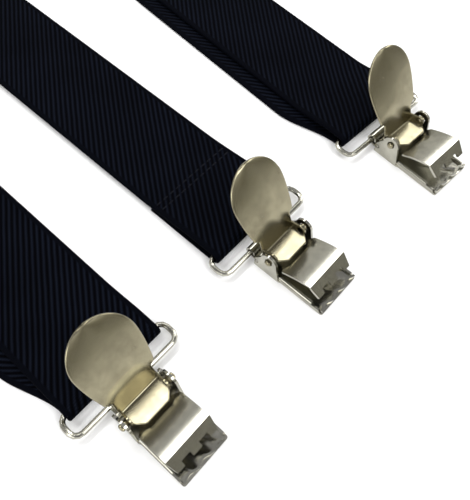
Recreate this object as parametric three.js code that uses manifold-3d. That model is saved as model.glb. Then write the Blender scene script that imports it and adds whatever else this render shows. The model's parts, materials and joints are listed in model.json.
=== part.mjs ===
// Y-back suspenders with three flip-lever clips, laid flat: the back strap and the two front straps run side by side.
// Millimetres, +Z up. The origin is under the back clip's lever pivot, on the surface that the clips lie on.
// +X points out of the clip mouths, +Y to the wearer's right.
import * as THREE from "three";
import { mergeVertices } from "three/addons/utils/BufferGeometryUtils.js";
import Module from "manifold-3d";

// ---- driving dimensions ----
const GAP = 0.3; // clearance between pieces that touch or pass through each other

// straps
const STRAP_WIDTH = 38;
const STRAP_THICKNESS = 1.4;
const FOLD_ROOM = 11; // what the diagonal folds leave free between neighbouring straps
const RIGHT_TURN = THREE.MathUtils.degToRad(-4.6); // the right front strap opens away from the back strap
const FRONT_AHEAD = 3; // both front clips lie this far past the back clip
const FRONT_RUN = 426; // ring to the fold that turns the front strap towards the patch
const BACK_RUN = 277; // ring to the sewn end inside the patch
const BACK_HEM = 30; // sewn fold-back of the back strap, behind its ring
const FRONT_HEM = 26; // sewn fold-back of the front strap, on the adjuster's bar
const ADJUSTER_DISTANCE = 236; // ring to the adjuster's bar
const CROSS_SPARE = 7; // what the shorter cross run between the two folds has beyond the strap's width

// patch
const PATCH_LENGTH = 62;
const PATCH_MARGIN = 3; // leather past each strap edge
const PATCH_CORNER = 8;
const LEATHER = 1.4;
const PATCH_OFFSET = 9; // middle line of each front strap from the patch's own, where the strap ends
const PATCH_MEETING = 2; // from the back strap's end to the nearest corner of the front straps' ends

// ring that joins a strap to its clip
const WIRE = 2;
const RING_SIDE_ROOM = 3.3; // from the strap's edge to the outside of the ring
const RING_DEPTH = 10;
const RING_CORNER = 3;

// clip
const PLATE = 0.8;
const PIVOT_HEIGHT = 8.2;
const PIVOT_RADIUS = 1.2;
const EAR_RADIUS = 3.2;
const EAR_FOOT = 5; // half length of an ear at the floor
const CLIP_HALF = 9.8; // over the ears
const NOSE_HALF = 9.4;
const NOSE_X = 23.5;
const NOSE_CORNER = 0.8;
const LIP_HEIGHT = 2.3;
const LIP_WAVE = 0.45;
const LIP_FLUTES = 3;
const SIDE_WALL = 2.4;
const KNUCKLE_HALF = 8.5;
const RING_TO_PIVOT = 8.6; // from the wire in the knuckle to the pivot

// jaw, drawn closed and then opened about its rear bar
const JAW_OPEN = THREE.MathUtils.degToRad(12);
const JAW_HINGE_X = -4.8;
const JAW_TAB_RADIUS = 0.6;
const JAW_NECK_HALF = 6.2;
const JAW_HALF = 8.8;
const JAW_NECK_END = 2;
const JAW_SHOULDER_X = 4.9;
const JAW_RIDGE_X = 17.3;
const JAW_RIDGE_HEIGHT = 6.6;
const JAW_FLANGE_X = 20.3;
const JAW_FLANGE_HEIGHT = 1.7;
const JAW_NOTCHES = 2; // between three broad teeth
const TOOTH_DEPTH = 1.9;

// lever
const CAM_RADIUS = 4.6; // pivot to the fold line between the tongue and the paddle
const CAM_ANGLE = THREE.MathUtils.degToRad(210);
const TONGUE_ANGLE = THREE.MathUtils.degToRad(12);
const TONGUE_LENGTH = 8.4;
const TONGUE_CHAMFER = 3.2;
const LEVER_HALF = 7.8;
const PADDLE_ROOT_ANGLE = THREE.MathUtils.degToRad(112);
const PADDLE_BEND = THREE.MathUtils.degToRad(10);
const PADDLE_ROOT = 8;
const PADDLE_NECK = 5.9; // stays between the ears when the lever lies back
const PADDLE_SHOULDER = 1.5;
const PADDLE_ROOT_HALF = 9.7;
const PADDLE_LENGTH = 32.5;
const PADDLE_HALF = 11.3;
const PADDLE_ROUND_START = 20.5;
const WEB_RADIUS = 2;
const LEVER_CLOSING = THREE.MathUtils.degToRad(55);

// adjuster
const BAR = 1.8;
const FRAME_LENGTH = 24;
const RAIL = 2.2;
const CLAMP_LENGTH = 17;
const CLAMP_BARREL = 0.9;
const CLAMP_PIN = 0.7;
const FRAME_EAR = 2.4;

// ---- values that follow ----
const STRAP_HALF = STRAP_WIDTH / 2;
const STRAP_PITCH = 3 * STRAP_HALF + FOLD_ROOM; // between neighbouring middle lines: half a strap and a whole fold
const RING_WIDTH = STRAP_WIDTH + 2 * RING_SIDE_ROOM;
const PATCH_WIDE = STRAP_WIDTH + 2 * (PATCH_OFFSET + PATCH_MARGIN) + 6; // the front straps spread under it
const PATCH_NARROW = STRAP_WIDTH + 2 * PATCH_MARGIN;
const PATCH_RUN = FRONT_RUN - BACK_RUN; // patch to the first diagonal fold, which lies beside the second
const CROSS_REACH = STRAP_PITCH - STRAP_WIDTH - CROSS_SPARE - PATCH_OFFSET;
const PATCH_SPREAD = Math.asin(CROSS_REACH / PATCH_RUN); // between a front strap and the middle line at the patch
const MID = STRAP_THICKNESS / 2;
const LAYER = STRAP_THICKNESS + GAP; // from one strap layer to the next
const WIRE_HEIGHT = LAYER + WIRE / 2; // wire lying in the strap's loop
const LOOP_RADIUS = WIRE / 2 + GAP + MID; // middle of the strap round the wire
const FAR_WIRE = -RING_TO_PIVOT - (RING_DEPTH - WIRE); // x of the wire in the strap's loop
const BAR_HEIGHT = LAYER + BAR / 2;
const BAR_LOOP = BAR / 2 + GAP + MID;
const HEM_TOP = BAR_HEIGHT + BAR_LOOP + MID; // top of the fold-back on the adjuster's bar
const ADJUSTER_LEVEL = HEM_TOP + GAP + MID; // middle of the strap where it runs through the adjuster
const BAR_X = FAR_WIRE - ADJUSTER_DISTANCE;
const PATCH_X = FAR_WIRE - BACK_RUN; // where the three straps' ends meet
const CLAMP_AXIS_Z = ADJUSTER_LEVEL + MID + GAP + CLAMP_BARREL;
const CLAMP_AXIS_X = BAR_X - CLAMP_LENGTH + 2;
const JAW_TOP = PIVOT_HEIGHT + CAM_RADIUS * Math.sin(CAM_ANGLE + LEVER_CLOSING) - GAP / 2;
const JAW_HINGE_Z = JAW_TOP - PLATE / 2;
const EAR_INNER = CLIP_HALF - PLATE - 0.1;

const wasm = await Module();
wasm.setup();

// ---- solids ----

/** A closed three.js geometry as a solid that can be joined and cut. */
function solid(geometry) {
  const bare = geometry.clone();
  bare.deleteAttribute("normal");
  bare.deleteAttribute("uv");
  const merged = mergeVertices(bare, 1e-4);
  const vertices = merged.attributes.position.array;
  const triangles = new Uint32Array(merged.index.array);
  return new wasm.Manifold(new wasm.Mesh({ numProp: 3, vertProperties: vertices, triVerts: triangles }));
}

/** A solid as a three.js geometry. */
function geometryOf(manifold) {
  const mesh = manifold.getMesh();
  const geometry = new THREE.BufferGeometry();
  geometry.setAttribute("position", new THREE.BufferAttribute(mesh.vertProperties, 3));
  geometry.setIndex(new THREE.BufferAttribute(mesh.triVerts, 1));
  return geometry;
}

/** A side view, drawn in x and z, given its width from y0 to y1. */
function acrossY(shape, y0, y1, curveSegments = 8) {
  const geometry = new THREE.ExtrudeGeometry(shape, { depth: y1 - y0, bevelEnabled: false, curveSegments });
  geometry.rotateX(Math.PI / 2);
  geometry.translate(0, y1, 0);
  return solid(geometry);
}

/** A top view, drawn in x and y, given its height from z0 to z1. */
function upZ(shape, z0, z1, curveSegments = 6) {
  const geometry = new THREE.ExtrudeGeometry(shape, { depth: z1 - z0, bevelEnabled: false, curveSegments });
  geometry.translate(0, 0, z0);
  return solid(geometry);
}

/** A round bar along y. */
function barY(radius, x, z, y0, y1, sides = 16) {
  const geometry = new THREE.CylinderGeometry(radius, radius, y1 - y0, sides);
  geometry.translate(x, (y0 + y1) / 2, z);
  return solid(geometry);
}

function box(x0, x1, y0, y1, z0, z1) {
  const geometry = new THREE.BoxGeometry(x1 - x0, y1 - y0, z1 - z0);
  geometry.translate((x0 + x1) / 2, (y0 + y1) / 2, (z0 + z1) / 2);
  return solid(geometry);
}

function moved(part, matrix) {
  const geometry = geometryOf(part);
  geometry.applyMatrix4(matrix);
  return solid(geometry);
}

/** A turn about a line along y through (x, z) that lifts what lies on its +x side. */
function liftAbout(x, z, angle) {
  return new THREE.Matrix4()
    .makeTranslation(x, 0, z)
    .multiply(new THREE.Matrix4().makeRotationY(-angle))
    .multiply(new THREE.Matrix4().makeTranslation(-x, 0, -z));
}

function vector(x, y) {
  return new THREE.Vector2(x, y);
}

function direction(angle) {
  return vector(Math.cos(angle), Math.sin(angle));
}

/** Points of an arc, the first and the last included. */
function arc(x, y, radius, from, to, steps = 8) {
  const points = [];
  for (let i = 0; i <= steps; i++) {
    points.push(vector(x, y).addScaledVector(direction(from + ((to - from) * i) / steps), radius));
  }
  return points;
}

/** The outline of a band of even thickness that follows an open line of points. */
function band(line, thickness) {
  const left = [];
  const right = [];
  line.forEach((point, i) => {
    const before = line[Math.max(i - 1, 0)];
    const after = line[Math.min(i + 1, line.length - 1)];
    const along = after.clone().sub(before).normalize();
    const side = vector(-along.y, along.x).multiplyScalar(thickness / 2);
    left.push(point.clone().add(side));
    right.push(point.clone().sub(side));
  });
  return new THREE.Shape([...left, ...right.reverse()]);
}

/** An easy rise or drop from one level to another between two places. */
function ramp(x0, z0, x1, z1, steps = 6) {
  const points = [];
  for (let i = 0; i <= steps; i++) {
    const s = i / steps;
    points.push(vector(x0 + (x1 - x0) * s, z0 + ((z1 - z0) * (1 - Math.cos(Math.PI * s))) / 2));
  }
  return points;
}

// ---- clip ----

/** Base: floor, knuckle rolled over the ring, two ears, low side walls and a fluted lip at the nose. */
function clipBase() {
  const floor = new THREE.Shape();
  const rise = 3.4; // length over which the floor climbs to the knuckle
  const inner = WIRE / 2 + GAP - 0.05;
  const outer = inner + PLATE - 0.1;
  const start = -Math.PI / 12;
  floor.moveTo(NOSE_X, 0);
  floor.lineTo(NOSE_X, PLATE);
  floor.lineTo(rise - RING_TO_PIVOT, PLATE);
  floor.lineTo(-RING_TO_PIVOT, WIRE_HEIGHT - inner);
  floor.absarc(-RING_TO_PIVOT, WIRE_HEIGHT, inner, -Math.PI / 2, start, true);
  floor.absarc(-RING_TO_PIVOT, WIRE_HEIGHT, outer, start, -Math.PI / 2, false);
  floor.lineTo(rise - RING_TO_PIVOT, 0);

  const plan = new THREE.Shape();
  const knuckleEnd = rise - RING_TO_PIVOT - 0.5;
  plan.moveTo(-RING_TO_PIVOT - outer - 1, -KNUCKLE_HALF);
  plan.lineTo(knuckleEnd, -KNUCKLE_HALF);
  plan.lineTo(knuckleEnd, -CLIP_HALF);
  plan.lineTo(EAR_FOOT, -CLIP_HALF);
  plan.lineTo(EAR_FOOT + 1, -NOSE_HALF);
  plan.lineTo(NOSE_X - NOSE_CORNER, -NOSE_HALF);
  plan.absarc(NOSE_X - NOSE_CORNER, NOSE_CORNER - NOSE_HALF, NOSE_CORNER, -Math.PI / 2, 0, false);
  plan.absarc(NOSE_X - NOSE_CORNER, NOSE_HALF - NOSE_CORNER, NOSE_CORNER, 0, Math.PI / 2, false);
  plan.lineTo(EAR_FOOT + 1, NOSE_HALF);
  plan.lineTo(EAR_FOOT, CLIP_HALF);
  plan.lineTo(knuckleEnd, CLIP_HALF);
  plan.lineTo(knuckleEnd, KNUCKLE_HALF);
  plan.lineTo(-RING_TO_PIVOT - outer - 1, KNUCKLE_HALF);
  let base = acrossY(floor, -CLIP_HALF, CLIP_HALF, 14).intersect(upZ(plan, -1, PIVOT_HEIGHT));

  const ear = new THREE.Shape();
  ear.moveTo(-EAR_FOOT - 0.6, 0.1);
  ear.lineTo(EAR_FOOT, 0.1);
  ear.lineTo(EAR_RADIUS, PIVOT_HEIGHT);
  ear.absarc(0, PIVOT_HEIGHT, EAR_RADIUS, 0, Math.PI, false);
  ear.lineTo(-EAR_FOOT - 0.6, JAW_HINGE_Z + 1.5);
  const wall = new THREE.Shape();
  wall.moveTo(EAR_FOOT - 1, 0.1);
  wall.lineTo(NOSE_X - NOSE_CORNER, 0.1);
  wall.lineTo(NOSE_X - NOSE_CORNER - 1, SIDE_WALL - 0.6);
  wall.lineTo(EAR_FOOT - 1, SIDE_WALL - 0.6);
  const rollEnd = JAW_RIDGE_X + 1.2; // short of the jaw's flange
  for (const side of [-1, 1]) {
    const earY = [side * EAR_INNER, side * CLIP_HALF].sort((a, b) => a - b);
    const wallY = [side * (NOSE_HALF - PLATE), side * NOSE_HALF].sort((a, b) => a - b);
    const rollY = side * (NOSE_HALF - PLATE);
    base = base.add(acrossY(ear, ...earY, 16));
    base = base.add(acrossY(wall, ...wallY));
    const roll = new THREE.CylinderGeometry(0.7, 0.7, rollEnd - EAR_FOOT, 12);
    roll.rotateZ(Math.PI / 2);
    roll.translate((rollEnd + EAR_FOOT) / 2, rollY, SIDE_WALL - 0.7);
    base = base.add(solid(roll));
    const reach = [side * (EAR_INNER - 1), side * (CLIP_HALF + 1)].sort((a, b) => a - b);
    base = base.subtract(barY(PIVOT_RADIUS + GAP, 0, PIVOT_HEIGHT, ...reach));
    base = base.subtract(barY(JAW_TAB_RADIUS + GAP, JAW_HINGE_X, JAW_HINGE_Z, ...reach, 12));
  }
  return base.add(flutedLip());
}

/** Upright lip at the nose, pressed into shallow flutes. */
function flutedLip() {
  const half = NOSE_HALF - NOSE_CORNER / 2;
  const front = [];
  const back = [];
  const steps = 12 * LIP_FLUTES;
  for (let i = 0; i <= steps; i++) {
    const y = -half + (2 * half * i) / steps;
    const x = NOSE_X - LIP_WAVE * (1.2 - Math.cos((2 * Math.PI * LIP_FLUTES * i) / steps));
    front.push(vector(x - 0.1, y));
    back.push(vector(x - 0.1 - PLATE, y));
  }
  return upZ(new THREE.Shape([...front, ...back.reverse()]), 0.1, LIP_HEIGHT);
}

/** Jaw: rear bar with tabs, neck, shoulders, arched plate, ridge and toothed flange. */
function clipJaw() {
  const line = [vector(JAW_HINGE_X, JAW_HINGE_Z), vector(JAW_NECK_END, JAW_HINGE_Z)];
  const steps = 8;
  const bulge = 0.7;
  for (let i = 1; i <= steps; i++) {
    const s = i / steps;
    const x = JAW_NECK_END + (JAW_RIDGE_X - JAW_NECK_END) * s;
    const z = JAW_HINGE_Z + (JAW_RIDGE_HEIGHT - PLATE / 2 - JAW_HINGE_Z) * s;
    line.push(vector(x, z + bulge * Math.sin(Math.PI * s)));
  }
  line.push(vector(JAW_FLANGE_X, JAW_FLANGE_HEIGHT));
  const plate = acrossY(band(line, PLATE), -JAW_HALF, JAW_HALF);

  const plan = new THREE.Shape();
  const far = JAW_FLANGE_X + 2;
  plan.moveTo(JAW_HINGE_X - 1, -JAW_NECK_HALF);
  plan.lineTo(JAW_SHOULDER_X - 1.2, -JAW_NECK_HALF);
  plan.lineTo(JAW_SHOULDER_X, -JAW_HALF + 0.8);
  plan.lineTo(JAW_SHOULDER_X + 0.8, -JAW_HALF);
  plan.lineTo(JAW_RIDGE_X + 0.6, -JAW_HALF);
  plan.lineTo(far, -JAW_HALF + 1.1);
  plan.lineTo(far, JAW_HALF - 1.1);
  plan.lineTo(JAW_RIDGE_X + 0.6, JAW_HALF);
  plan.lineTo(JAW_SHOULDER_X + 0.8, JAW_HALF);
  plan.lineTo(JAW_SHOULDER_X, JAW_HALF - 0.8);
  plan.lineTo(JAW_SHOULDER_X - 1.2, JAW_NECK_HALF);
  plan.lineTo(JAW_HINGE_X - 1, JAW_NECK_HALF);
  let jaw = plate.intersect(upZ(plan, -2, PIVOT_HEIGHT + 4));

  const pitch = (2 * JAW_HALF) / (2 * JAW_NOTCHES + 1);
  for (let i = 0; i < JAW_NOTCHES; i++) {
    const y0 = -JAW_HALF + pitch * (2 * i + 1);
    jaw = jaw.subtract(box(JAW_RIDGE_X + 1, far, y0, y0 + pitch, -2, JAW_FLANGE_HEIGHT + TOOTH_DEPTH));
  }
  jaw = jaw.add(barY(PLATE, JAW_HINGE_X, JAW_HINGE_Z, GAP - EAR_INNER, EAR_INNER - GAP));
  jaw = jaw.add(barY(JAW_TAB_RADIUS, JAW_HINGE_X, JAW_HINGE_Z, -CLIP_HALF, CLIP_HALF, 12));
  return moved(jaw, liftAbout(JAW_HINGE_X, JAW_HINGE_Z, JAW_OPEN));
}

/** A flat plate whose lower face starts at a point of the side view and leaves it at an angle. */
function leverPlate(outline, from, angle, side) {
  const place = new THREE.Matrix4().makeTranslation(from.x, 0, from.y);
  const turn = new THREE.Matrix4().makeRotationY(-angle);
  const low = side > 0 ? 0 : -PLATE;
  return moved(upZ(outline, low, low + PLATE, 12), place.multiply(turn));
}

/** Lever: tongue over the jaw's neck, paddle, side webs and the stubs that turn in the ears. */
function clipLever() {
  const pivot = vector(0, PIVOT_HEIGHT);
  const fold = pivot.clone().addScaledVector(direction(CAM_ANGLE), CAM_RADIUS);

  const tongue = new THREE.Shape();
  tongue.moveTo(0, -LEVER_HALF);
  tongue.lineTo(TONGUE_LENGTH - TONGUE_CHAMFER, -LEVER_HALF);
  tongue.lineTo(TONGUE_LENGTH, TONGUE_CHAMFER - LEVER_HALF);
  tongue.lineTo(TONGUE_LENGTH, LEVER_HALF - TONGUE_CHAMFER);
  tongue.lineTo(TONGUE_LENGTH - TONGUE_CHAMFER, LEVER_HALF);
  tongue.lineTo(0, LEVER_HALF);
  let lever = leverPlate(tongue, fold, TONGUE_ANGLE, 1);

  const root = new THREE.Shape();
  root.moveTo(0, -LEVER_HALF);
  root.lineTo(PADDLE_NECK, -LEVER_HALF);
  root.lineTo(PADDLE_NECK + PADDLE_SHOULDER, -PADDLE_ROOT_HALF);
  root.lineTo(PADDLE_ROOT, -PADDLE_ROOT_HALF);
  root.lineTo(PADDLE_ROOT, PADDLE_ROOT_HALF);
  root.lineTo(PADDLE_NECK + PADDLE_SHOULDER, PADDLE_ROOT_HALF);
  root.lineTo(PADDLE_NECK, LEVER_HALF);
  root.lineTo(0, LEVER_HALF);
  lever = lever.add(leverPlate(root, fold, PADDLE_ROOT_ANGLE, -1));

  const bend = fold.clone().addScaledVector(direction(PADDLE_ROOT_ANGLE), PADDLE_ROOT);
  const roundStart = PADDLE_ROUND_START - PADDLE_ROOT;
  const end = PADDLE_LENGTH - PADDLE_ROOT;
  const lap = 0.4;
  const paddle = new THREE.Shape();
  paddle.moveTo(-lap, -PADDLE_ROOT_HALF);
  paddle.bezierCurveTo(roundStart / 3, -PADDLE_ROOT_HALF - 0.6, roundStart / 2, -PADDLE_HALF, roundStart, -PADDLE_HALF);
  paddle.absellipse(roundStart, 0, end - roundStart, PADDLE_HALF, -Math.PI / 2, Math.PI / 2, false);
  paddle.bezierCurveTo(roundStart / 2, PADDLE_HALF, roundStart / 3, PADDLE_ROOT_HALF + 0.6, -lap, PADDLE_ROOT_HALF);
  lever = lever.add(leverPlate(paddle, bend, PADDLE_ROOT_ANGLE + PADDLE_BEND, -1));

  const onTongue = fold.clone().addScaledVector(direction(TONGUE_ANGLE), TONGUE_LENGTH - TONGUE_CHAMFER);
  const onPaddle = fold.clone().addScaledVector(direction(PADDLE_ROOT_ANGLE), WEB_RADIUS + 1);
  const web = new THREE.Shape();
  web.moveTo(fold.x, fold.y);
  web.lineTo(onTongue.x, onTongue.y);
  web.lineTo(WEB_RADIUS, PIVOT_HEIGHT);
  web.absarc(0, PIVOT_HEIGHT, WEB_RADIUS, 0, Math.PI * 0.75, false);
  web.lineTo(onPaddle.x, onPaddle.y);
  for (const side of [-1, 1]) {
    const webY = [side * (LEVER_HALF - PLATE), side * LEVER_HALF].sort((a, b) => a - b);
    const stubY = [side * (LEVER_HALF - PLATE), side * (CLIP_HALF + 1.1)].sort((a, b) => a - b);
    lever = lever.add(acrossY(web, ...webY));
    lever = lever.add(barY(PIVOT_RADIUS, 0, PIVOT_HEIGHT, ...stubY));
  }
  return lever;
}

/** The middle line of a ring's wire: a rectangle with round corners, lying flat. */
class RingLine extends THREE.Curve {
  getPoint(t, target = new THREE.Vector3()) {
    const halfX = (RING_DEPTH - WIRE) / 2;
    const halfY = (RING_WIDTH - WIRE) / 2;
    const sides = [2 * (halfY - RING_CORNER), 2 * (halfX - RING_CORNER)];
    const bend = (Math.PI / 2) * RING_CORNER;
    const total = 2 * (sides[0] + sides[1]) + 4 * bend;
    let s = (t % 1) * total;
    let corner = vector(halfX - RING_CORNER, -(halfY - RING_CORNER));
    for (let quarter = 0; quarter < 4; quarter++) {
      const straight = sides[quarter % 2];
      const out = direction((Math.PI / 2) * quarter);
      const along = vector(-out.y, out.x);
      if (s <= straight) {
        const p = corner.clone().addScaledVector(out, RING_CORNER).addScaledVector(along, s);
        return target.set(p.x, p.y, 0);
      }
      s -= straight;
      corner = corner.clone().addScaledVector(along, straight);
      if (s <= bend) {
        const p = corner.clone().addScaledVector(direction((Math.PI / 2) * quarter + s / RING_CORNER), RING_CORNER);
        return target.set(p.x, p.y, 0);
      }
      s -= bend;
    }
    return target.set(halfX, -(halfY - RING_CORNER), 0);
  }
}

function clipRing() {
  const wire = new THREE.TubeGeometry(new RingLine(), 64, WIRE / 2, 8, true);
  wire.translate((FAR_WIRE - RING_TO_PIVOT) / 2, 0, WIRE_HEIGHT);
  return solid(wire);
}

// ---- straps ----

/** The strap's middle line round the ring's far wire, from above it to below it. */
function ringLoop() {
  return arc(FAR_WIRE, WIRE_HEIGHT, LOOP_RADIUS, Math.PI / 2, -Math.PI / 2, 10);
}

function backStrap() {
  const top = WIRE_HEIGHT + LOOP_RADIUS;
  const cornerReach = STRAP_HALF * Math.sin(PATCH_SPREAD);
  const line = [vector(PATCH_X + cornerReach + PATCH_MEETING, LAYER + MID)];
  line.push(...ramp(FAR_WIRE - BACK_HEM - 8, LAYER + MID, FAR_WIRE - 4, top));
  line.push(...ringLoop());
  line.push(vector(FAR_WIRE - BACK_HEM, WIRE_HEIGHT - LOOP_RADIUS));
  return acrossY(band(line, STRAP_THICKNESS), -STRAP_HALF, STRAP_HALF);
}

/** Front strap from its second fold, through the adjuster, round the ring and back to the adjuster's bar. */
function frontRun(startLevel) {
  const low = LAYER + MID;
  const line = [...ramp(FAR_WIRE - FRONT_RUN, startLevel, FAR_WIRE - FRONT_RUN + 70, low, 4)];
  line.push(...ramp(BAR_X - FRAME_LENGTH - 26, low, BAR_X - FRAME_LENGTH - 4, ADJUSTER_LEVEL));
  line.push(...ramp(BAR_X + FRONT_HEM + 3, ADJUSTER_LEVEL, BAR_X + FRONT_HEM + 23, low));
  line.push(...ramp(FAR_WIRE - 24, low, FAR_WIRE - 4, WIRE_HEIGHT + LOOP_RADIUS));
  line.push(...ringLoop());
  line.push(...arc(BAR_X, BAR_HEIGHT, BAR_LOOP, -Math.PI / 2, -1.5 * Math.PI, 10));
  line.push(vector(BAR_X + FRONT_HEM, BAR_HEIGHT + BAR_LOOP));
  return acrossY(band(line, STRAP_THICKNESS), -STRAP_HALF, STRAP_HALF);
}

/** Where the line across p along a meets the line through q along b. */
function meeting(p, a, q, b) {
  const cross = a.x * b.y - a.y * b.x;
  const s = ((q.x - p.x) * b.y - (q.y - p.y) * b.x) / cross;
  return p.clone().addScaledVector(a, s);
}

/** The two ends of the slanted crease, where a strap that heads one way folds over to head another. */
function crease(point, before, after) {
  const across = vector(-before.y, before.x);
  const fold = before.clone().add(after).normalize();
  return [-STRAP_HALF, STRAP_HALF].map((edge) => {
    return meeting(point, fold, point.clone().addScaledVector(across, edge), before);
  });
}

/** The rounded edge of a crease: half a tube along it, bulging away from the strap. */
function creaseEdge([a, b], inward, lowLevel) {
  const length = a.distanceTo(b);
  const along = b.clone().sub(a).normalize();
  const middle = a.clone().add(b).multiplyScalar(0.5);
  const out = vector(-along.y, along.x);
  const turned = out.dot(inward) > 0 ? out.multiplyScalar(-1) : out;
  const angle = Math.atan2(turned.y, turned.x);
  const radius = (GAP + STRAP_THICKNESS) / 2;
  const line = [vector(-1, -radius), ...arc(0, 0, radius, -Math.PI / 2, Math.PI / 2, 8), vector(-1, radius)];
  const tube = acrossY(band(line, STRAP_THICKNESS), 1 - length / 2, length / 2 - 1);
  const place = new THREE.Matrix4()
    .makeTranslation(middle.x, middle.y, lowLevel + radius)
    .multiply(new THREE.Matrix4().makeRotationZ(angle));
  return moved(tube, place);
}

/** A front strap, side +1 on the wearer's right. It leaves the patch, folds over twice and comes back to its clip. */
function frontStrap({ side, ahead, turn }, patchLevel, crossLevel, runLevel) {
  const home = vector(ahead, side * STRAP_PITCH);
  const toClip = direction(turn);
  const second = home.clone().addScaledVector(toClip, FAR_WIRE - FRONT_RUN);
  const fromPatch = direction(side * (Math.PI - PATCH_SPREAD));
  const patchEnd = vector(PATCH_X, side * PATCH_OFFSET);
  const first = patchEnd.clone().addScaledVector(fromPatch, PATCH_RUN);
  const across = second.clone().sub(first).normalize();

  const firstCrease = crease(first, fromPatch, across);
  const secondCrease = crease(second, across, toClip);
  const sideways = (heading, edge) => vector(-heading.y, heading.x).multiplyScalar(edge);
  const ends = [-STRAP_HALF, STRAP_HALF];
  const patchPart = new THREE.Shape([
    ...ends.map((edge) => patchEnd.clone().add(sideways(fromPatch, edge))),
    ...[...firstCrease].reverse(),
  ]);
  const sameOrder = (creaseEnds) => {
    const order = creaseEnds.map((p) => p.clone().sub(first).dot(sideways(across, 1)));
    return order[0] < order[1] ? creaseEnds : [...creaseEnds].reverse();
  };
  const crossPart = new THREE.Shape([...sameOrder(firstCrease), ...[...sameOrder(secondCrease)].reverse()]);
  const overlap = 0.5;
  const turnIn = secondCrease.map((p) => ({ p, s: p.clone().sub(second).dot(sideways(toClip, 1)) }));
  turnIn.sort((a, b) => a.s - b.s);
  const reach = STRAP_HALF + overlap;
  const startPart = new THREE.Shape([
    ...turnIn.map((end) => end.p),
    ...[STRAP_HALF, -STRAP_HALF].map((edge) =>
      second.clone().addScaledVector(toClip, reach + 6).add(sideways(toClip, edge))),
  ]);
  const place = new THREE.Matrix4()
    .makeTranslation(home.x, home.y, 0)
    .multiply(new THREE.Matrix4().makeRotationZ(turn));
  const run = moved(frontRun(runLevel + MID), place);
  const clear = upZ(cutAway(second, toClip, reach + 6 - overlap), -1, 20);
  let strap = run.subtract(clear);
  strap = strap.add(upZ(startPart, runLevel, runLevel + STRAP_THICKNESS));
  strap = strap.add(upZ(crossPart, crossLevel, crossLevel + STRAP_THICKNESS));
  strap = strap.add(upZ(patchPart, patchLevel, patchLevel + STRAP_THICKNESS));
  strap = strap.add(creaseEdge(firstCrease, patchEnd.clone().sub(first), Math.min(patchLevel, crossLevel) + MID));
  const secondLow = Math.min(crossLevel, runLevel) + MID;
  strap = strap.add(creaseEdge(secondCrease, first.clone().sub(second).add(toClip), secondLow));
  return strap;
}

/** A square that covers everything behind a line across the strap. */
function cutAway(point, heading, ahead) {
  const size = 80;
  const side = vector(-heading.y, heading.x);
  const front = point.clone().addScaledVector(heading, ahead);
  const back = point.clone().addScaledVector(heading, -size);
  return new THREE.Shape([
    front.clone().addScaledVector(side, -size / 2),
    front.clone().addScaledVector(side, size / 2),
    back.clone().addScaledVector(side, size / 2),
    back.clone().addScaledVector(side, -size / 2),
  ]);
}

// ---- patch ----

/** A leather layer of the patch: wide over the front straps, narrower over the back strap. */
function patchLayer(level) {
  const wide = PATCH_X - PATCH_LENGTH / 2;
  const narrow = PATCH_X + PATCH_LENGTH / 2;
  const corners = [
    vector(wide, -PATCH_WIDE / 2),
    vector(narrow, -PATCH_NARROW / 2),
    vector(narrow, PATCH_NARROW / 2),
    vector(wide, PATCH_WIDE / 2),
  ];
  const outline = new THREE.Shape();
  corners.forEach((corner, i) => {
    const before = corners[(i + 3) % 4].clone().sub(corner).normalize();
    const after = corners[(i + 1) % 4].clone().sub(corner).normalize();
    const from = corner.clone().addScaledVector(before, PATCH_CORNER);
    const to = corner.clone().addScaledVector(after, PATCH_CORNER);
    if (i === 0) outline.moveTo(from.x, from.y);
    else outline.lineTo(from.x, from.y);
    outline.quadraticCurveTo(corner.x, corner.y, to.x, to.y);
  });
  return upZ(outline, level, level + LEATHER);
}

// ---- adjuster ----

/** Frame: two side rails, a round bar for the strap's sewn end, a bridge under the strap and ears for the clamp. */
function adjusterFrame() {
  const inner = STRAP_HALF + GAP + 0.2;
  const outer = inner + RAIL;
  const low = LAYER;
  const back = BAR_X - FRAME_LENGTH;
  const bridgeTop = HEM_TOP;
  let frame = barY(BAR / 2, BAR_X, BAR_HEIGHT, -outer, outer);
  frame = frame.add(box(back, back + 4, -outer, outer, bridgeTop - 2.2, bridgeTop));
  frame = frame.add(box(CLAMP_AXIS_X - 2, CLAMP_AXIS_X + 5, -outer, outer, bridgeTop - 1.2, bridgeTop));
  for (const side of [-1, 1]) {
    const railY = [side * inner, side * outer].sort((a, b) => a - b);
    const earY = [side * (outer - 1.2), side * outer].sort((a, b) => a - b);
    frame = frame.add(box(back, BAR_X + BAR / 2, ...railY, low, bridgeTop));
    const ear = new THREE.Shape();
    ear.moveTo(CLAMP_AXIS_X - FRAME_EAR - 1, bridgeTop - 0.5);
    ear.lineTo(CLAMP_AXIS_X + FRAME_EAR + 1, bridgeTop - 0.5);
    ear.lineTo(CLAMP_AXIS_X + FRAME_EAR, CLAMP_AXIS_Z);
    ear.absarc(CLAMP_AXIS_X, CLAMP_AXIS_Z, FRAME_EAR, 0, Math.PI, false);
    frame = frame.add(acrossY(ear, ...earY));
    const hole = [side * (outer - 2), side * (outer + 1)].sort((a, b) => a - b);
    frame = frame.subtract(barY(CLAMP_PIN + GAP, CLAMP_AXIS_X, CLAMP_AXIS_Z, ...hole));
  }
  return frame;
}

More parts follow.
